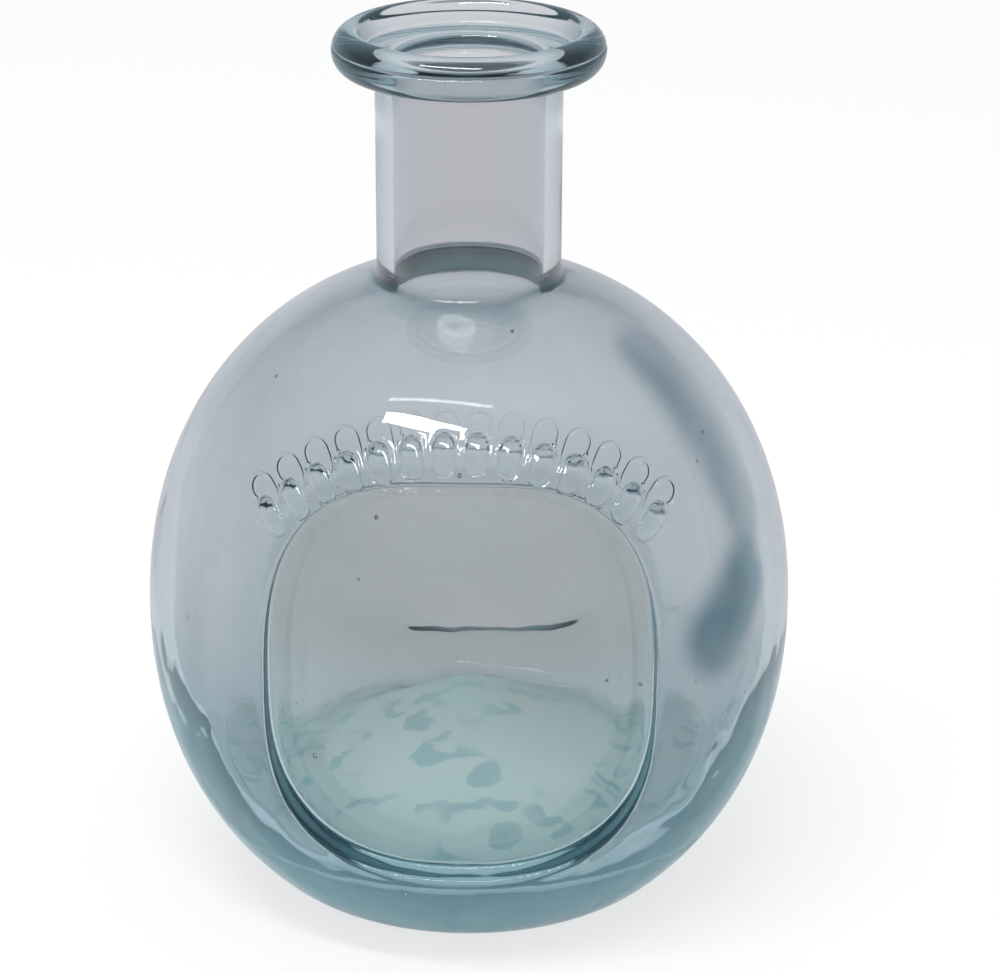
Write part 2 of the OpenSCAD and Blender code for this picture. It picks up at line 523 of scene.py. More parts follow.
@dataclass
class GlassSkin:
    """Builds the closed skin of the glass as rows and columns with two ringed patches."""

    glass: Glass = field(default_factory=Glass)
    panel: Panel = field(default_factory=Panel)
    half_angle: float = 53.0
    panel_columns: int = 86
    side_columns: int = 28
    low: float = -43.5 * MM
    fine_from: float = 25 * MM
    high: float = 56 * MM
    low_rows: int = 30
    fine_rows: int = 36
    front_rings: int = 17
    back_rings: int = 9
    inner_rings: int = 8
    core: float = 0.55
    pad_inside: float = 6 * MM
    pad_outside: float = 12 * MM
    back_pad: float = 9 * MM

    def __post_init__(self) -> None:
        """Starts with no points and no faces."""
        self.points: list[np.ndarray] = []
        self.inner: list[np.ndarray] = []
        self.faces: list[np.ndarray] = []
        self.count = 0

    def _place(self, points: np.ndarray, inner: float | np.ndarray) -> np.ndarray:
        """Adds points.

        Args:
            points: Their places, one a line.
            inner: 1 on the inside of the glass, 0 on the outside.

        Returns:
            Their numbers.
        """
        start = self.count
        self.points.append(points)
        self.inner.append(np.broadcast_to(np.asarray(inner, float), (len(points),)).copy())
        self.count += len(points)
        return np.arange(start, self.count)

    def _columns(self) -> np.ndarray:
        """Angles of the columns, the front patch first, counted anticlockwise from above."""
        h = self.half_angle
        front = np.linspace(-90 - h, -90 + h, self.panel_columns + 1)[:-1]
        side = np.linspace(-90 + h, 90 - h, self.side_columns + 1)[:-1]
        back = np.linspace(90 - h, 90 + h, self.panel_columns + 1)[:-1]
        return np.radians(np.concatenate([front, side, back, side + 180]))

    def _padded(self, ring: np.ndarray) -> np.ndarray:
        """Moves a ring of the inside inwards where it lies behind a panel."""
        x, y, z = ring.T
        up = z - self.glass.belly
        away = self.panel.away(x, up)
        start = np.where(y < 0, self.pad_inside, self.back_pad)
        end = np.where(y < 0, self.pad_outside, self.back_pad)
        share = 1 - smooth_step((away + start) / (start + end))
        deep = self.glass.skin_r(up, self.panel.recess + self.glass.wall)
        pad = np.sqrt(np.clip(deep**2 - x**2, 0, None))
        flat = np.minimum(np.abs(y), np.abs(y) * (1 - share) + pad * share)
        return pairs(x, np.sign(y) * flat, z)

    def _rings(self) -> tuple[np.ndarray, int, int]:
        """Adds the rows of the skin.

        Returns:
            The numbers of the points by row and column, and the rows on which the
            patches start and end.
        """
        angles = self._columns()
        glass = self.glass
        foot = glass.foot_rows(self.low)
        up = np.concatenate([np.linspace(self.low, self.fine_from, self.low_rows + 1),
                             np.linspace(self.fine_from, self.high, self.fine_rows + 1)[1:]])[1:]
        body = pairs(glass.skin_r(up), glass.belly + up)
        outside = np.vstack([foot, body, glass.shoulder_rows(self.high), glass.lip_rows()])
        inside = np.vstack([glass.mouth_rows(), glass.cavity_rows()])
        numbers = []
        for k, (r, z) in enumerate(np.vstack([outside, inside])):
            ring = pairs(r * np.cos(angles), r * np.sin(angles), z)
            if k >= len(outside):
                ring = self._padded(ring)
            numbers.append(self._place(ring, float(k >= len(outside))))
        first = len(foot) - 1
        return np.array(numbers), first, first + len(body)

    def _quads(self, rows: np.ndarray, closed: np.ndarray) -> None:
        """Adds the faces between rows of points that close on themselves.

        Args:
            rows: Numbers of the points by row and column.
            closed: Where there is a face, by row and column.
        """
        ahead = np.roll(rows, -1, axis=1)
        for j, keep in enumerate(closed):
            quads = pairs(rows[j], ahead[j], ahead[j + 1], rows[j + 1])
            self.faces.append(quads[keep])

    def _cap(self, ring: np.ndarray, middle: Sequence[float], inner: float, flip: bool) -> None:
        """Closes a ring with a fan of triangles."""
        centre = self._place(np.array([middle], float), inner)[0]
        ahead = np.roll(ring, -1)
        fan = pairs(ring, ahead, centre)
        self.faces.append(fan[:, ::-1] if flip else fan)

    def _patch(self, rows: np.ndarray, first: int, last: int, face: Face) -> None:
        """Fills one open patch with rings that follow the panel's outline.

        Args:
            rows: Numbers of the points by row and column.
            first: Row on which the patch starts.
            last: Row on which it ends.
            face: Front or back.
        """
        panel, glass = self.panel, self.glass
        n = self.panel_columns
        left = 0 if face is Face.FRONT else n + self.side_columns
        columns = np.arange(left, left + n + 1) % rows.shape[1]
        m = last - first
        border = np.concatenate([rows[first, columns[:-1]], rows[first:last, columns[-1]],
                                 rows[last, columns[:0:-1]], rows[last:first:-1, columns[0]]])
        everything = np.vstack(self.points)
        edge = everything[border]
        x = edge[:, 0] * (1 if face is Face.FRONT else -1)
        z = edge[:, 2] - glass.belly
        ox, oz = panel.outline_point(x, z)
        nx, nz = panel.outward(ox, oz)
        front = face is Face.FRONT
        steps = panel.edge_rings() if front else panel.soft_rings(ox, oz)
        rings: list[tuple[np.ndarray, np.ndarray, float | np.ndarray]] = []
        outer = self.front_rings if front else self.back_rings
        first_off, last_off = steps[0][0], steps[-1][0]
        ex, ez = ox + nx * first_off, oz + nz * first_off
        for w in np.linspace(0, 1, outer + 1)[1:-1]:
            rings.append((x + (ex - x) * w, z + (ez - z) * w, 0.0))
        for off, share in steps:
            rings.append((ox + nx * off, oz + nz * off, share))
        ix, iz = ox + nx * last_off, oz + nz * last_off
        cx, cz = ox * self.core, panel.up + (oz - panel.up) * self.core
        for w in np.linspace(0, 1, self.inner_rings + 1)[1:]:
            rings.append((ix + (cx - ix) * w, iz + (cz - iz) * w, 1.0))
        before = border
        for px, pz, share in rings:
            here = self._place(self._lay(px, pz, share, face), 0.0)
            a, b = np.roll(before, -1), np.roll(here, -1)
            self.faces.append(pairs(before, a, b, here))
            before = here
        self._fill_core(before, rings[-1][0], rings[-1][1], n, m, face)

    def _lay(
        self, x: np.ndarray, z: np.ndarray, share: float | np.ndarray, face: Face
    ) -> np.ndarray:
        """Puts points of a patch on the skin or in the recess.

        Args:
            x: Places across, to the right seen from outside.
            z: Heights above the widest point.
            share: 0 on the skin, 1 on the floor of the recess.
            face: Front or back.

        Returns:
            The places.
        """
        skin = np.sqrt(np.clip(self.glass.skin_r(z) ** 2 - x**2, 0, None))
        deep = np.sqrt(np.clip(self.glass.skin_r(z, self.panel.recess) ** 2 - x**2, 0, None))
        y = skin * (1 - share) + deep * share
        turn = 1 if face is Face.FRONT else -1
        return pairs(x * turn, -y * turn, z + self.glass.belly)

    def _fill_core(
        self, loop: np.ndarray, x: np.ndarray, z: np.ndarray, n: int, m: int, face: Face
    ) -> None:
        """Fills the middle of a panel with rows and columns between its four sides.

        Args:
            loop: Numbers of the points round the middle.
            x: Their places across.
            z: Their heights above the widest point.
            n: Number of columns.
            m: Number of rows.
            face: Front or back.
        """
        low, right = np.arange(0, n + 1), np.arange(n, n + m + 1)
        high = np.arange(n + m, 2 * n + m + 1)[::-1]
        left = (np.arange(2 * n + m, 2 * n + 2 * m + 1) % (2 * (n + m)))[::-1]
        u, v = np.meshgrid(np.linspace(0, 1, n + 1), np.linspace(0, 1, m + 1))
        inside = []
        for c in (x, z):
            sides = (1 - v) * c[low][None, :] + v * c[high][None, :]
            sides = sides + (1 - u) * c[left][:, None] + u * c[right][:, None]
            corners = ((1 - u) * (1 - v) * c[low[0]] + u * (1 - v) * c[low[-1]]
                       + (1 - u) * v * c[high[0]] + u * v * c[high[-1]])
            inside.append(sides - corners)
        numbers = np.zeros((m + 1, n + 1), int)
        numbers[0], numbers[-1] = loop[low], loop[high]
        numbers[:, 0], numbers[:, -1] = loop[left], loop[right]
        gx, gz = inside[0][1:-1, 1:-1].ravel(), inside[1][1:-1, 1:-1].ravel()
        numbers[1:-1, 1:-1] = self._place(self._lay(gx, gz, 1.0, face), 0.0).reshape(m - 1, n - 1)
        self.faces.append(np.stack([numbers[:-1, :-1], numbers[:-1, 1:], numbers[1:, 1:],
                                    numbers[1:, :-1]], axis=-1).reshape(-1, 4))

    def mesh(self) -> bpy.types.Mesh:
        """Builds the whole skin.

        Returns:
            A closed mesh with the attribute "inner", 1 on the inside of the glass.
        """
        rows, first, last = self._rings()
        n, side = self.panel_columns, self.side_columns

        closed = np.ones((len(rows) - 1, rows.shape[1]), bool)
        for left in (0, n + side):
            closed[first:last, left:left + n] = False
        self._quads(rows, closed)
        for face in Face:
            self._patch(rows, first, last, face)
        glass = self.glass
        self._cap(rows[0], (0, 0, float(glass.kick(np.zeros(1))[0])), 0.0, True)
        self._cap(rows[-1], (0, 0, glass.hill_z), 1.0, False)
        points, inner = np.vstack(self.points), np.concatenate(self.inner)
        used = np.unique(np.concatenate([f.ravel() for f in self.faces]))
        renumber = np.zeros(len(points), int)
        renumber[used] = np.arange(len(used))
        faces = [f for block in self.faces for f in renumber[block].tolist()]
        mesh = bpy.data.meshes.new("bottle_glass")
        mesh.from_pydata(points[used].tolist(), [], faces)
        mesh.validate()
        mesh.shade_smooth()
        share = mesh.attributes.new("inner", "FLOAT", "POINT")
        share.data.foreach_set("value", inner[used].astype(np.float32))
        mesh.update()
        return mesh


# ---------------------------------------------------------------------------
# Relief, waves and seeds
# ---------------------------------------------------------------------------


class ReliefNodes:
    """The nodes that lift, wave and seed the skin."""

    def __init__(self, kit: NodeKit, look: "GlassRelief") -> None:
        """Starts with the tree's inputs and the fields that all parts use.

        Args:
            kit: Kit of the tree.
            look: The relief's sizes.
        """
        self.kit = kit
        self.look = look
        self.given = kit.add("NodeGroupInput")
        self.skin = self.given.outputs["Geometry"]
        self.here = kit.add("GeometryNodeInputPosition").outputs[0]
        self.z = kit.split(self.here)[2]
        self.inner = kit.number(kit.add("GeometryNodeInputNamedAttribute",
                                        {"data_type": "FLOAT"}, {"Name": "inner"}))

    def value(self, name: str) -> Signal:
        """One of the tree's named inputs."""
        return self.kit.number(self.given, name)

    def _spines(self) -> Socket:
        """The beads' middle lines, laid on the front of the skin along the arc.

        Returns:
            The lines.
        """
        kit, value = self.kit, self.value
        count, radius = value("Beads"), value("Arc Radius")
        reach = (value("Bead Length") - value("Bead Width")) * 0.5
        index = kit.number(kit.add("GeometryNodeInputIndex"))
        angle = value("Arc Half Angle") * (index * 2 / (count - 1) - 1)
        place = kit.combine(X=radius * kit.math("SINE", angle),
                            Z=radius * kit.math("COSINE", angle) + value("Arc Middle"))
        points = kit.add("GeometryNodePoints", None, {"Count": count, "Position": place})
        spine = kit.add("GeometryNodeCurvePrimitiveLine", None,
                        {"Start": kit.combine(Z=reach * -1.0), "End": kit.combine(Z=reach)})
        row = kit.add("GeometryNodeInstanceOnPoints", None,
                      {"Points": points.outputs[0], "Instance": spine.outputs[0],
                       "Rotation": kit.combine(Y=angle)})
        lines = kit.add("GeometryNodeRealizeInstances", None, {0: row.outputs[0]})
        mesh = kit.add("GeometryNodeCurveToMesh", None, {"Curve": lines.outputs[0]})
        before = kit.vector("ADD", self.here, (0, -self.look.cast_from, 0))
        hit = kit.add("GeometryNodeRaycast", None,
                      {"Target Geometry": self.skin, "Source Position": before,
                       "Ray Direction": (0, 1, 0), "Ray Length": 1.0})
        laid = kit.add("GeometryNodeSetPosition", None,
                       {"Geometry": mesh.outputs[0], "Position": hit.outputs["Hit Position"]})
        return laid.outputs[0]

    def bead_height(self) -> Signal:
        """How far the row of beads lifts the skin, from the distance to their spines.

        Returns:
            The height at each point.
        """
        near = self.kit.add("GeometryNodeProximity", {"target_element": "EDGES"},
                            {0: self._spines()})
        gap = self.kit.number(near, "Distance")
        share = (gap / (self.value("Bead Width") * 0.5)).at_most(1.0)
        dome = (1 - share * share) ** self.look.dome
        return dome * self.value("Bead Height") * (1 - self.inner)

    def wave_height(self) -> Signal:
        """How far the glass waves: freely on the inside, only inwards on the outside.

        Returns:
            The height at each point.
        """
        kit, look = self.kit, self.look
        shift = kit.combine(X=self.value("Seed") * 0.37)
        noise = kit.noise(kit.vector("ADD", self.here, shift), 1.0, 1.5, 0.45)
        kit.feed(noise.socket.node.inputs["Scale"], 1 / self.value("Wave Size"))
        body = self.z.ease(*look.body_end) * (1 - look.neck_wave) + look.neck_wave
        inside = self.inner * (noise - 0.5) * self.value("Wave Inside") * body
        outside = (1 - self.inner) * (noise * -1.0) * self.value("Wave Outside")
        return (inside + outside) * self.z.ease(*look.foot_end) * self.z.ease(*look.lip_end)

    def seeds(self, skin: Socket) -> Socket:
        """Small bubbles of air inside the wall, as closed shells that face inwards.

        Args:
            skin: The waved skin.

        Returns:
            The bubbles.
        """
        kit, look, seed = self.kit, self.look, self.value("Seed")
        low, high = look.seed_range
        body = self.z.above(low) * (1 - self.inner.above(0.5)) * (1 - self.z.above(high))
        spread = kit.add("GeometryNodeDistributePointsOnFaces", None,
                         {"Mesh": skin, "Selection": body, "Density": look.seed_density,
                          "Seed": seed})
        sink = kit.vector("SCALE", spread.outputs["Normal"], -look.seed_depth)
        points = kit.add("GeometryNodeSetPosition", None,
                         {"Geometry": spread.outputs["Points"], "Offset": sink})
        ball = kit.add("GeometryNodeMeshIcoSphere", None, {"Radius": 1.0, "Subdivisions": 2})
        hollow = kit.add("GeometryNodeFlipFaces", None, {0: ball.outputs["Mesh"]})
        size = kit.add("FunctionNodeRandomValue", {"data_type": "FLOAT"},
                       {"Seed": seed, 2: look.seed_draw[0], 3: look.seed_draw[1]})
        radius = kit.number(size, 1) ** 2.2 * look.seed_span + look.seed_least
        row = kit.add("GeometryNodeInstanceOnPoints", None,
                      {"Points": points.outputs[0], "Instance": hollow.outputs[0],
                       "Scale": kit.combine(X=radius, Y=radius, Z=radius * look.seed_stretch)})
        return kit.add("GeometryNodeRealizeInstances", None, {0: row.outputs[0]}).outputs[0]


@dataclass
class GlassRelief:
    """Sizes of the beads, waves and seeds, and the Geometry Nodes that make them."""

    beads: int = 14
    bead_w: float = 4.7 * MM
    bead_l: float = 6.8 * MM
    bead_out: float = 0.9 * MM
    arc_r: float = 51 * MM
    arc_half: float = 43.5
    arc_z: float = 53.9 * MM
    dome: float = 0.38
    cast_from: float = 200 * MM
    wave_inside: float = 0.5 * MM
    wave_outside: float = 0.06 * MM
    wave_size: float = 26 * MM
    neck_wave: float = 0.2
    body_end: Band = (118 * MM, 105 * MM)
    foot_end: Band = (2 * MM, 12 * MM)
    lip_end: Band = (160 * MM, 148 * MM)
    seed: int = 4
    seed_density: float = 900.0
    seed_depth: float = 1.9 * MM
    seed_range: Band = (12 * MM, 150 * MM)
    seed_draw: Band = (0.10, 0.75)
    seed_span: float = 0.7 * MM
    seed_least: float = 0.12 * MM
    seed_stretch: float = 1.25

    def tree(self, glass: bpy.types.Material) -> Tree:
        """Builds the node tree.

        Args:
            glass: Material of the finished mesh.

        Returns:
            The tree.
        """
        tree = bpy.data.node_groups.new("glass_relief", "GeometryNodeTree")
        face = tree.interface
        face.new_socket("Geometry", in_out="INPUT", socket_type="NodeSocketGeometry")
        for name, value in self.inputs().items():
            kind = "NodeSocketInt" if isinstance(value, int) else "NodeSocketFloat"
            face.new_socket(name, in_out="INPUT", socket_type=kind)
        face.new_socket("Geometry", in_out="OUTPUT", socket_type="NodeSocketGeometry")
        kit = NodeKit(tree)
        nodes = ReliefNodes(kit, self)
        normal = kit.add("GeometryNodeInputNormal").outputs[0]
        height = nodes.bead_height() + nodes.wave_height()
        moved = kit.add("GeometryNodeSetPosition", None,
                        {"Geometry": nodes.skin, "Offset": kit.vector("SCALE", normal, height)})
        joined = kit.add("GeometryNodeJoinGeometry")
        for part in (nodes.seeds(moved.outputs[0]), moved.outputs[0]):
            tree.links.new(part, joined.inputs[0])
        whole = kit.add("GeometryNodeRealizeInstances", None, {0: joined.outputs[0]})
        smooth = kit.add("GeometryNodeSetShadeSmooth", None, {0: whole.outputs[0]})
        dressed = kit.add("GeometryNodeSetMaterial", None,
                          {"Geometry": smooth.outputs[0], "Material": glass})
        kit.add("NodeGroupOutput", None, {0: dressed.outputs[0]})
        return tree

    def inputs(self) -> dict[str, float | int]:
        """The tree's named inputs and their values."""
        return {
            "Beads": self.beads,
            "Bead Width": self.bead_w,
            "Bead Length": self.bead_l,
            "Bead Height": self.bead_out,
            "Arc Radius": self.arc_r,
            "Arc Half Angle": math.radians(self.arc_half),
            "Arc Middle": self.arc_z,
            "Wave Inside": self.wave_inside,
            "Wave Outside": self.wave_outside,
            "Wave Size": self.wave_size,
            "Seed": self.seed,
        }

    def apply(self, skin: bpy.types.Mesh, glass: bpy.types.Material) -> bpy.types.Object:
        """Runs the tree on the bare skin and keeps the result as a plain mesh.

        Args:
            skin: The bare skin.
            glass: Material of the finished mesh.

        Returns:
            The finished object.
        """
        piece = bpy.data.objects.new("bottle_glass", skin)
        bpy.context.scene.collection.objects.link(piece)
        tree = self.tree(glass)
        modifier = piece.modifiers.new("relief", "NODES")
        modifier.node_group = tree
        values = self.inputs()
        for item in tree.interface.items_tree:
            if item.item_type == "SOCKET" and item.in_out == "INPUT" and item.name in values:
                modifier[item.identifier] = values[item.name]
        graph = bpy.context.evaluated_depsgraph_get()
        graph.update()
        done = bpy.data.meshes.new_from_object(piece.evaluated_get(graph))
        piece.modifiers.remove(modifier)
        piece.data = done
        done.name = "bottle_glass"
        return piece


# ---------------------------------------------------------------------------
# Finishes
# ---------------------------------------------------------------------------


def blank_material(name: str) -> tuple[bpy.types.Material, NodeKit]:
    """A new material with an empty node tree, and the tree's kit."""
    material = bpy.data.materials.new(name)
    material.use_nodes = True
    material.node_tree.nodes.clear()
    return material, NodeKit(material.node_tree)


@dataclass(frozen=True)
class Fold:
    """A thick fold in the glass, where its blue-green shows strongly."""

    start: Colour
    end: Colour
    width: float
    strength: float

    def height(self, kit: NodeKit, place: Socket) -> Signal:
        """Strength of the fold at each place, falling off with the distance to its spine.

        Args:
            kit: Kit of the tree.
            place: The coordinates.

        Returns:
            The strength.
        """
        along = Vector(self.end) - Vector(self.start)
        away = kit.vector("SUBTRACT", place, self.start)
        dot = kit.vector("DOT_PRODUCT", away, tuple(along / along.length_squared))
        share = kit.add("ShaderNodeMath", {"operation": "MULTIPLY", "use_clamp": True},
                        {0: dot, 1: 1.0}).outputs[0]
        gap = kit.vector("DISTANCE", away, kit.vector("SCALE", tuple(along), share))
        return gap.ease(1.9 * self.width, 0.7 * self.width) * self.strength


@dataclass(frozen=True)
class PaleGlass:
    """Pale glass that turns blue-green where it is thick, with ripples and folds, and with painted
    light and painted shade in some tints and diffuse veils.
    """

    glass: Glass = field(default_factory=Glass)
    panel: Panel = field(default_factory=Panel)
    row: GlassRelief = field(default_factory=GlassRelief)
    tint: Colour = (0.835, 0.80, 0.815)
    neck_tint: Colour = (0.76, 0.725, 0.745)
    # Clear tint at the base: painted light that lifts the base and the hill inside it.
    base_painted_light: Colour = (1.0, 1.0, 1.0)
    # Darker tint high in the front panel: painted shade.
    panel_high_painted_shade: Colour = (0.64, 0.63, 0.61)
    # Near-clear tint low in the front panel: painted light.
    panel_low_painted_light: Colour = (0.95, 0.99, 0.97)
    fold_tint: Colour = (0.06, 0.20, 0.26)
    # Blue-green of the thick heel, with painted shade where the heel is seen at a glancing angle.
    tone_and_painted_shading: Colour = (0.20, 0.46, 0.54)
    # Painted shade on the lip where it is seen at a glancing angle.
    lip_painted_shade: Colour = (0.10, 0.20, 0.25)
    # Painted shade along the body's glancing edges.
    edge_painted_shade: Colour = (0.34, 0.35, 0.40)
    # Painted shade: a blue-green band round the inside of the neck's root.
    root_painted_shade: Colour = (0.46, 0.68, 0.72)
    # Painted light: a pale sheet over the hill inside the base.
    hill_painted_light: Colour = (0.90, 1.0, 0.96)
    mark_haze: Colour = (0.34, 0.62, 0.67)
    # Painted glow on the hill, where it is seen at a glancing angle and round its tip.
    hill_painted_glow: Colour = (0.72, 1.0, 1.0)
    ior: float = 1.47
    absorb_colour: Colour = (0.2, 0.55, 0.64)
    absorb_density: float = 45.0
    base_rough: float = 0.2
    middle_r: float = 61.9 * MM
    middle_h: float = 67.8 * MM
    middle_neck_r: float = 16.1 * MM
    cloud_scale: float = 60.0
    mark_scale: float = 130.0
    mark_stretch: Colour = (1.0, 1.8, 1.8)
    root_z: float = 120.5 * MM
    root_w: float = 2.6 * MM
    root_sway: float = 8 * MM
    rim_at: float = 0.46
    rim_w: float = 0.5 * MM
    rim_depth: float = 0.22
    ripple_scale: float = 90.0
    ripple: float = 0.09
    ripple_low: float = 0.5
    ripple_end: Band = (65 * MM, 45 * MM)
    folds: tuple[Fold, ...] = (
        Fold((0.0340, -0.0155, 0.1140), (0.0530, -0.0250, 0.0850), 5.0 * MM, 0.62),
        Fold((0.0475, -0.0395, 0.0655), (0.0545, -0.0320, 0.0740), 6.0 * MM, 1.0),
        Fold((-0.0440, -0.0040, 0.1070), (-0.0510, -0.0060, 0.0980), 5.0 * MM, 0.27),
    )

    def material(self) -> bpy.types.Material:
        """Builds the material."""
        material, kit = blank_material("pale_glass")
        nodes = GlassNodes(kit, self)
        shader = kit.add(
            "ShaderNodeBsdfPrincipled",
            None,
            {
                "Base Color": nodes.colour(),
                "Roughness": nodes.under() * self.base_rough,
                "IOR": self.ior,
                "Transmission Weight": 1.0,
                "Normal": nodes.normal(),
            },
        )
        volume = kit.add("ShaderNodeVolumeAbsorption", None,
                         {"Color": (*self.absorb_colour, 1.0), "Density": self.absorb_density})
        surface = shader.outputs[0]
        # Each veil mixes a diffuse sheet into the glass; most of them are painted shade or painted
        # light.
        for share, colour in nodes.veils():
            tone_and_painted_shading = kit.add("ShaderNodeBsdfDiffuse", None, {"Color": (*colour, 1.0)})
            surface = kit.add("ShaderNodeMixShader", None,
                              {0: share, 1: surface, 2: tone_and_painted_shading.outputs[0]}).outputs[0]
        kit.add("ShaderNodeOutputMaterial", None,
                {"Surface": surface, "Volume": volume.outputs[0]})
        return material


@dataclass(frozen=True)
class Bands:
    """Where the masks start and end: heights and distances from the axis, or shares."""

    kick_under: Band = (35.2 * MM, 34.0 * MM)
    kick_side: Band = (34.5 * MM, 32.5 * MM)
    hill_top: Band = (40 * MM, 37 * MM)
    hill_side: Band = (44 * MM, 40 * MM)
    hill_over: Band = (34.3 * MM, 35.2 * MM)
    heel_top: Band = (75 * MM, 35 * MM)
    heel_side: Band = (36 * MM, 44 * MM)
    below_lip: Band = (156 * MM, 150 * MM)
    lip: Band = (155 * MM, 160 * MM)
    body: Band = (125 * MM, 110 * MM)
    base_top: Band = (40 * MM, 36 * MM)
    base_side: Band = (43 * MM, 38 * MM)
    panel_edge: Band = (1.02, 0.98)
    panel_rise: Band = (40 * MM, 75 * MM)
    glow_side: Band = (12 * MM, 4 * MM)
    glow_turned: Band = (0.55, 0.95)
    edge_turned: Band = (0.35, 0.9)
    turned: Band = (0.25, 0.75)
    mark: Band = (0.53, 0.60)
    mark_cloud: Band = (0.40, 0.55)
    body_cloud: Band = (0.35, 0.65)
    fold_cloud: Band = (0.3, 0.55)


class GlassNodes:
    """The nodes of the glass: its places, the masks over them and what they drive."""

    def __init__(self, kit: NodeKit, look: PaleGlass) -> None:
        """Starts with the places that all masks use.

        Args:
            kit: Kit of the material's tree.
            look: Sizes and colours of the glass.
        """
        self.kit = kit
        self.look, self.band = look, Bands()
        self.place = kit.add("ShaderNodeTexCoord").outputs["Object"]
        self.x, self.y, self.z = kit.split(self.place)
        self.far = kit.length(self.x, self.y)
        self.slant = self.z + self.far * look.glass.hill_slope
        self.cloud = kit.noise(self.place, look.cloud_scale, 1.0)

    def under(self) -> Signal:
        """1 on the top of the push-up, just below the slope of the floor inside."""
        band = self.band
        return self.slant.ease(*band.kick_under) * self.far.ease(*band.kick_side)

    def inside(self) -> Signal:
        """1 on the inside of the glass, from an oval through the middle of the wall."""
        look = self.look
        across = self.far / look.middle_r
        up = (self.z - look.glass.belly) / look.middle_h
        body = (1 - across * across - up * up).above(0.0)
        return body.at_least((look.middle_neck_r - self.far).above(0.0))

    def rims(self) -> Signal:
        """1 in the fine grooves round the beads over the front panel, else 0."""
        row = self.look.row
        up = self.z - row.arc_z
        pitch = math.radians(2 * row.arc_half / (row.beads - 1))
        turn = self.kit.math("ARCTAN2", self.x, up) / pitch + 0.5 * (row.beads - 1)
        bead = self.kit.math("ROUND", turn.at_least(0.0).at_most(row.beads - 1.0))
        across = (turn - bead) * (pitch * row.arc_r)
        reach = 0.5 * (row.bead_l - row.bead_w)
        past = ((self.kit.length(self.x, up) - row.arc_r).size() - reach).at_least(0.0)
        gap = self.kit.length(across, past) - self.look.rim_at * row.bead_w
        return gap.size().ease(self.look.rim_w, 0.0) * self.y.below(0.0)

    def panel(self) -> Signal:
        """1 on the outline of the front panel, less inside it, more outside and at the back."""
        panel = self.look.panel
        up = self.z - self.look.glass.belly - panel.up
        across = (self.x.size() / panel.half_w) ** panel.square
        upright = (up.size() / panel.half_h) ** panel.square
        return (across + upright) ** (1 / panel.square) + self.y.above(0.0) * 2

    def veils(self) -> list[tuple[Signal, Colour]]:
        """Diffuse veils over the glass, most of them painted shade or painted light.

        Returns:
            Share over the surface and colour of each, the lowest first.
        """
        kit, look, band = self.kit, self.look, self.band
        z, far, cloud = self.z, self.far, self.cloud
        inside = self.inside()
        hill = z.ease(*band.hill_top) * far.ease(*band.hill_side) * self.slant.ease(*band.hill_over)
        glancing = kit.number(kit.add("ShaderNodeLayerWeight", None, {"Blend": 0.5}), "Facing")
        turned = glancing.ease(*band.turned)
        thick = z.ease(*band.heel_top) * far.ease(*band.heel_side)
        # Where the painted edge shade falls: glancing places on the outside, away from the heel and
        # below the lip.
        edge = (glancing.ease(*band.edge_turned) * (1 - thick) * (1 - inside)
                * z.ease(*band.below_lip))
        flat = kit.vector("MULTIPLY", self.place, look.mark_stretch)
        marks = kit.noise(flat, look.mark_scale, 1.0, 0.4).ease(*band.mark)
        root = inside * (z + (cloud - 0.5) * look.root_sway).line(look.root_z, look.root_w)
        glow = glancing.ease(*band.glow_turned).at_least(far.ease(*band.glow_side))
        return [
            # Thick heel: its blue-green, with painted shade at glancing angles.
            (thick * (turned * 0.35 + 0.03), look.tone_and_painted_shading),
            # Painted shade on the lip.
            (z.ease(*band.lip) * turned * 0.3, look.lip_painted_shade),
            # Painted shade on the body's glancing edges.
            (edge * 0.5, look.edge_painted_shade),
            # Painted shade band round the neck's root.
            (root * 0.6, look.root_painted_shade),
            # Painted light over the hill.
            (hill * 0.88, look.hill_painted_light),
            (hill * (marks * cloud.ease(*band.mark_cloud)) * 0.6, look.mark_haze),
            # Painted glow on the hill.
            (hill * glow * 0.5, look.hill_painted_glow),
        ]

    def colour(self) -> Socket:
        """Tint of the surface: one for the neck, the body, the base, the panel and the folds; the
        base's clear tint is painted light, the panel's tints are painted light low and painted
        shade high.

        Returns:
            The colour.
        """
        kit, look, band, z, cloud = self.kit, self.look, self.band, self.z, self.cloud
        body = z.ease(*band.body) * (0.75 + 0.25 * cloud.ease(*band.body_cloud))
        panel = self.panel().ease(*band.panel_edge)
        base = z.ease(*band.base_top) * self.far.ease(*band.base_side)
        folds = look.folds[0].height(kit, self.place)
        for fold in look.folds[1:]:
            folds = folds + fold.height(kit, self.place)
        uneven = cloud.ease(*band.fold_cloud) * 0.2 + 0.8
        tint: Any = (*look.neck_tint, 1.0)
        # The base's clear tint is painted light; the panel's tints are painted light low and
        # painted shade high.
        for share, colour in ((body, look.tint), (base, look.base_painted_light),
                              (panel, look.panel_low_painted_light),
                              (panel * z.ease(*band.panel_rise), look.panel_high_painted_shade),
                              ((folds * uneven).at_most(1.0), look.fold_tint)):
            mix = kit.add("ShaderNodeMix", {"data_type": "RGBA"},
                          {"Factor": share, "A": tint, "B": (*colour, 1.0)})
            tint = mix.outputs["Result"]
        return tint

    def normal(self) -> Socket:
        """Fine ripples, stronger low down, and the beads' grooves, in millimetres of height.

        Returns:
            The normal.
        """
        look = self.look
        ripple = self.kit.noise(self.place, look.ripple_scale, 1.0)
        height = (ripple * (self.z.ease(*look.ripple_end) * look.ripple_low + look.ripple)
                  - self.rims() * look.rim_depth)
        bump = self.kit.add("ShaderNodeBump", None,
                            {"Strength": 1.0, "Distance": MM, "Height": height})
        return bump.outputs[0]


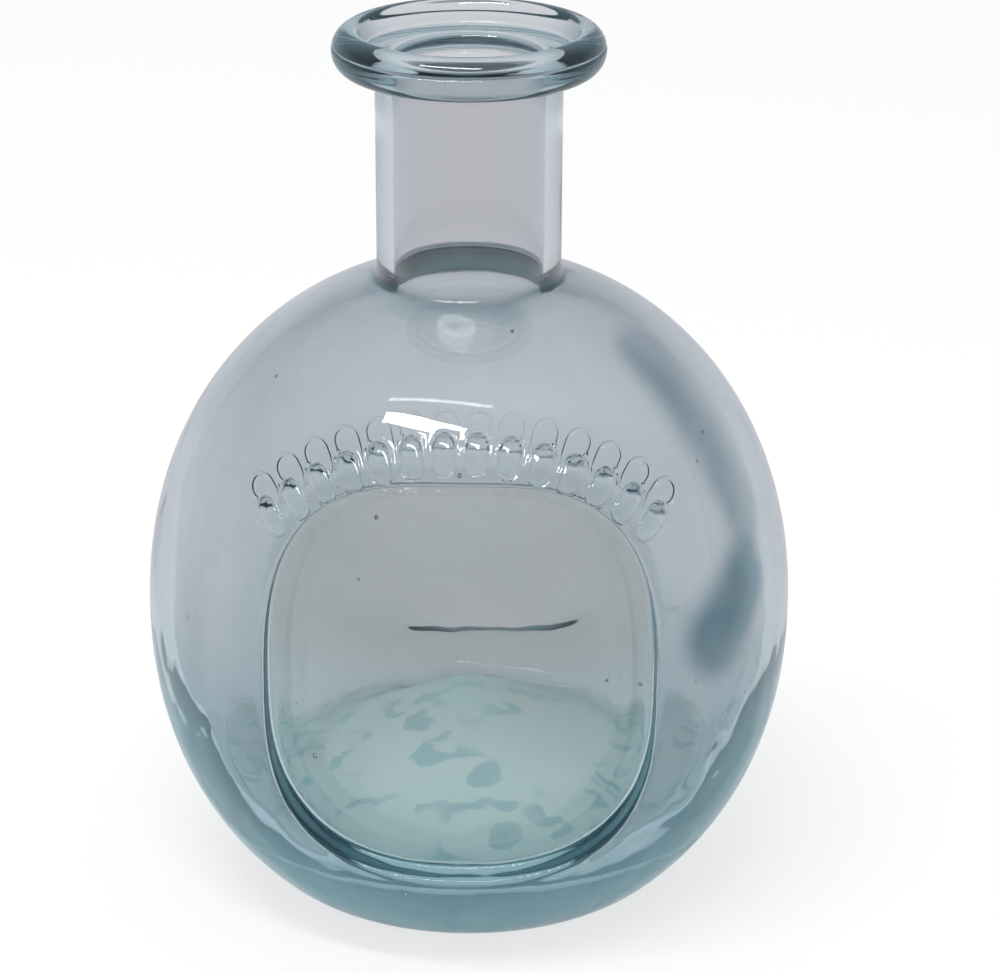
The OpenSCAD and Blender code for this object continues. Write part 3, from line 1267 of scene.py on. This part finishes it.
@dataclass(frozen=True)
class PaleFloor:
    """A plain pale floor that the camera and the glass see as white."""

    colour: Colour = (0.86, 0.86, 0.86)
    share: float = 0.72

    def material(self) -> bpy.types.Material:
        """Builds the material."""
        material, kit = blank_material("pale_floor")
        path = kit.add("ShaderNodeLightPath")
        seen = (kit.number(path, "Is Camera Ray") + kit.number(path, "Is Glossy Ray")
                + kit.number(path, "Is Transmission Ray")).at_most(1.0)
        diffuse = kit.add("ShaderNodeBsdfDiffuse", None, {"Color": (*self.colour, 1.0)})
        glow = kit.add("ShaderNodeEmission", None, {"Color": (1, 1, 1, 1), "Strength": 1.0})
        both = kit.add("ShaderNodeMixShader", None,
                       {0: seen * self.share, 1: diffuse.outputs[0], 2: glow.outputs[0]})
        kit.add("ShaderNodeOutputMaterial", None, {"Surface": both.outputs[0]})
        return material


# ---------------------------------------------------------------------------
# Studio
# ---------------------------------------------------------------------------


@dataclass
class Bottle:
    """The glass bottle."""

    skin: GlassSkin = field(default_factory=GlassSkin)
    relief: GlassRelief = field(default_factory=GlassRelief)
    finish: PaleGlass = field(default_factory=PaleGlass)

    def build(self) -> bpy.types.Object:
        """Makes the bottle, dresses it and puts it in the CAD node's place."""
        piece = self.relief.apply(self.skin.mesh(), self.finish.material())
        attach(piece, "root")
        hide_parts("bottle")
        return piece


@dataclass
class Lamp:
    """A soft rectangular lamp that looks at a point."""

    name: str
    place: Colour
    size: tuple[float, float]
    watts: float
    target: Colour = (0.0, 0.0, 0.08)

    def build(self) -> bpy.types.Object:
        """Makes the lamp."""
        light = bpy.data.lights.new(self.name, "AREA")
        light.shape = "RECTANGLE"
        light.size, light.size_y = self.size
        light.energy = self.watts
        lamp = bpy.data.objects.new(self.name, light)
        lamp.location = self.place
        way = Vector(self.target) - Vector(self.place)
        lamp.rotation_euler = way.to_track_quat("-Z", "Y").to_euler()
        bpy.context.scene.collection.objects.link(lamp)
        return lamp


@dataclass
class Studio:
    """Floor, light and camera."""

    floor_r: float = 6.0
    sky: tuple[tuple[float, Colour], ...] = (
        (0.0, (0.85, 0.85, 0.86)), (0.08, (0.8, 0.8, 0.81)),
        (0.35, (0.45, 0.46, 0.49)), (1.0, (1.1, 1.1, 1.1)),
    )
    floor_rings: int = 24
    floor_spokes: int = 96
    floor: PaleFloor = field(default_factory=PaleFloor)
    lamp: Lamp = field(
        default_factory=lambda: Lamp("strip_overhead", (-0.20, -0.45, 1.25), (0.85, 0.10), 10.0)
    )
    camera_far: float = 0.6336
    camera_pitch: float = 22.7
    camera_turn: float = 1.9
    aim_z: float = 0.0789
    aim_px: float = 469.0
    lens_px: float = 3200.0
    frame_px: float = 1000.0
    sensor: float = 36.0

    def build_floor(self) -> bpy.types.Object:
        """Makes the floor, a wide disc just under the foot."""
        rings, spokes = self.floor_rings, self.floor_spokes
        points = [(0.0, 0.0, 0.0)]
        for k in range(1, rings + 1):
            r = self.floor_r * (k / rings) ** 2
            points += [(r * math.cos(2 * math.pi * i / spokes),
                        r * math.sin(2 * math.pi * i / spokes), 0.0) for i in range(spokes)]
        faces: list[tuple[int, ...]] = [
            (0, 1 + i, 1 + (i + 1) % spokes) for i in range(spokes)
        ]
        for k in range(rings - 1):
            a, b = 1 + k * spokes, 1 + (k + 1) * spokes
            faces += [(a + i, b + i, b + (i + 1) % spokes, a + (i + 1) % spokes)
                      for i in range(spokes)]
        mesh = bpy.data.meshes.new("floor")
        mesh.from_pydata(points, [], faces)
        mesh.materials.append(self.floor.material())
        floor = bpy.data.objects.new("floor", mesh)
        floor.location.z = -0.00005
        bpy.context.scene.collection.objects.link(floor)
        return floor

    def build_world(self) -> None:
        """Makes a soft room, pale near the floor and dimmer above."""
        world = bpy.data.worlds.new("room")
        bpy.context.scene.world = world
        world.use_nodes = True
        tree = world.node_tree
        tree.nodes.clear()
        kit = NodeKit(tree)
        way = kit.add("ShaderNodeTexCoord").outputs["Generated"]
        z = kit.split(way)[2]
        ramp = kit.add("ShaderNodeValToRGB", None, {0: z})
        stops = ramp.color_ramp.elements
        while len(stops) < len(self.sky):
            stops.new(0.5)
        for stop, (height, colour) in zip(stops, self.sky):
            stop.position, stop.color = height, (*colour, 1.0)
        sky = kit.add("ShaderNodeBackground", None, {"Color": ramp.outputs[0], "Strength": 1.0})
        kit.add("ShaderNodeOutputWorld", None, {"Surface": sky.outputs[0]})

    def build_camera(self) -> bpy.types.Object:
        """Makes the camera at the photograph's place."""
        data = bpy.data.cameras.new("camera")
        data.sensor_width = self.sensor
        data.sensor_fit = "HORIZONTAL"
        data.lens = self.lens_px / self.frame_px * self.sensor
        data.shift_x = 0.5 - self.aim_px / self.frame_px
        data.clip_start = 0.01
        data.clip_end = 50
        camera = bpy.data.objects.new("camera", data)
        pitch, turn = math.radians(self.camera_pitch), math.radians(self.camera_turn)
        out = Vector((math.sin(turn) * math.cos(pitch), -math.cos(turn) * math.cos(pitch),
                      math.sin(pitch)))
        camera.location = Vector((0, 0, self.aim_z)) + out * self.camera_far
        camera.rotation_euler = (-out).to_track_quat("-Z", "Y").to_euler()
        bpy.context.scene.collection.objects.link(camera)
        bpy.context.scene.camera = camera
        return camera

    def build(self) -> None:
        """Makes the whole studio."""
        self.build_floor()
        self.build_world()
        self.lamp.build()
        LOG.info("lamp %s at %s", self.lamp.name, self.lamp.place)
        self.build_camera()
        scene = bpy.context.scene
        scene.view_settings.view_transform = "Standard"


def main() -> None:
    """Builds the bottle and the studio."""
    logging.basicConfig(level=logging.INFO, format="%(name)s: %(message)s")
    piece = Bottle().build()
    LOG.info("%s has %d faces", piece.name, len(piece.data.polygons))
    Studio().build()


if __name__ == "__main__":
    main()
